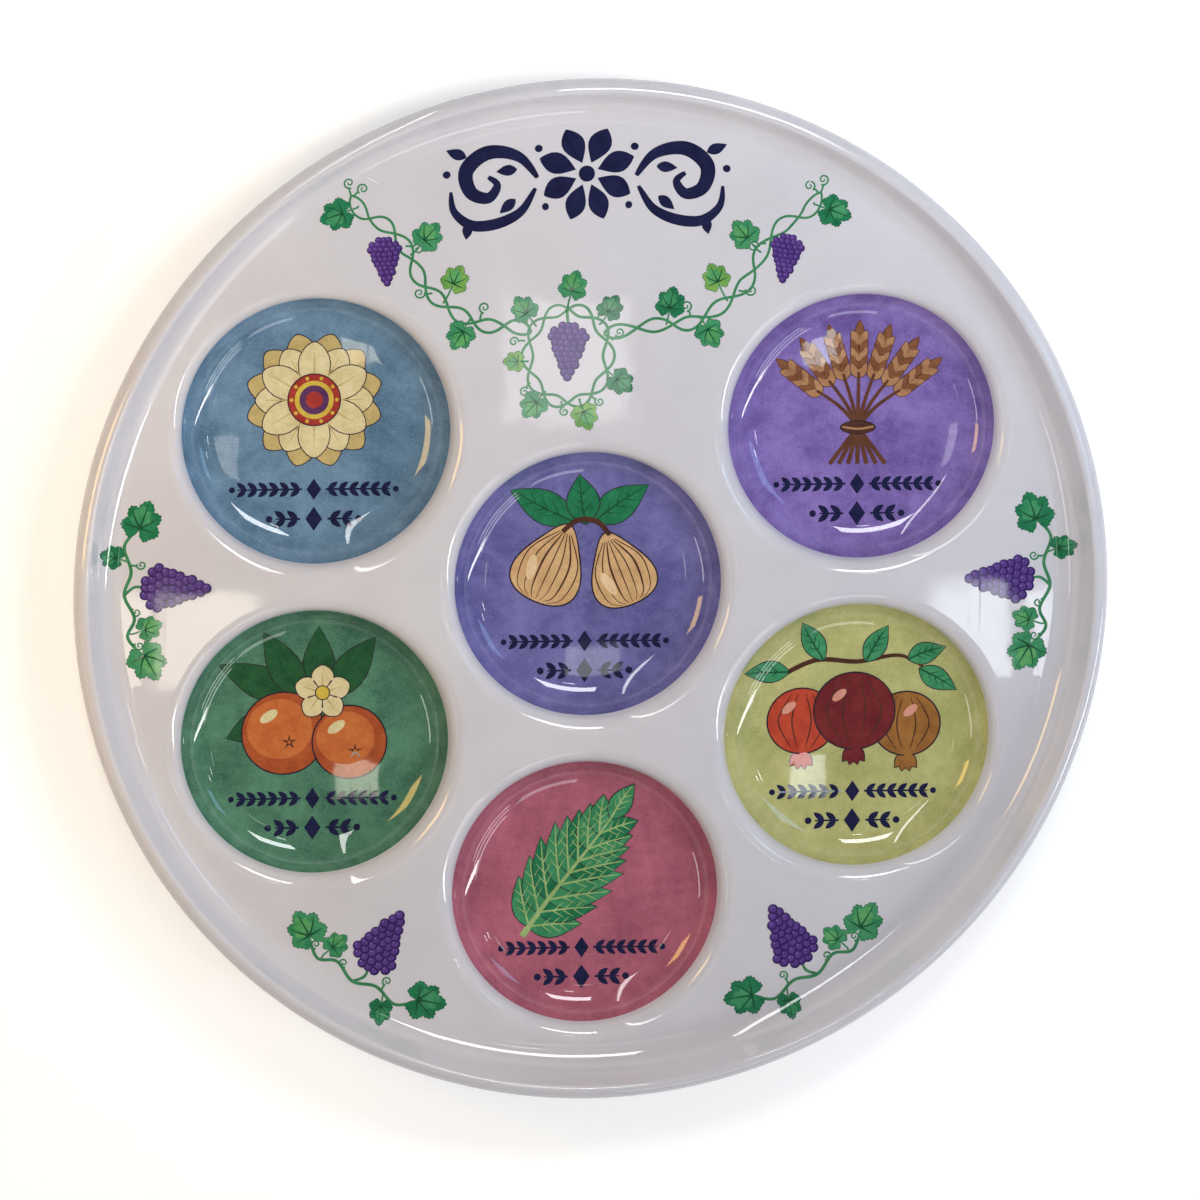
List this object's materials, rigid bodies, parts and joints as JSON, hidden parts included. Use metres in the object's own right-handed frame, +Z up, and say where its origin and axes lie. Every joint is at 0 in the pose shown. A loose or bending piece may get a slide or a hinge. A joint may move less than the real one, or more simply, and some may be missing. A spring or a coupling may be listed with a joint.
{
  "type": "seder plate",
  "caption": "Round white moulded plate with shallow round wells for the foods of a ritual meal, printed foils set flush in its face, and a raised rim with a rolled lip.",
  "frame": {"origin": "centre of the plate, on the plane of its foot rings", "axes": "+Z up through the plate's axis, +Y towards the heading at the top of the face, +X to the right of the face"},
  "size_m": [0.305, 0.305, 0.028],
  "materials": {
    "plate_white": "high gloss moulded melamine",
    "foil_blue": "glossy printed foil with watercolour mottling",
    "foil_purple": "glossy printed foil with watercolour mottling",
    "foil_indigo": "glossy printed foil with watercolour mottling",
    "foil_green": "glossy printed foil with watercolour mottling",
    "foil_yellow": "glossy printed foil with watercolour mottling",
    "foil_pink": "glossy printed foil with watercolour mottling",
    "foil_heading": "glossy clear foil, printed navy",
    "foil_vine": "glossy clear foil, printed green and purple"
  },
  "bodies": {
    "root": {"plate_body": "plate_white", "well_foil_blue": "foil_blue", "well_foil_purple": "foil_purple", "well_foil_indigo": "foil_indigo", "well_foil_green": "foil_green", "well_foil_yellow": "foil_yellow", "well_foil_pink": "foil_pink", "heading_foil": "foil_heading", "garland_foil": "foil_vine", "spray_left_foil": "foil_vine", "spray_right_foil": "foil_vine", "spray_lower_left_foil": "foil_vine", "spray_lower_right_foil": "foil_vine"}
  },
  "joints": []
}
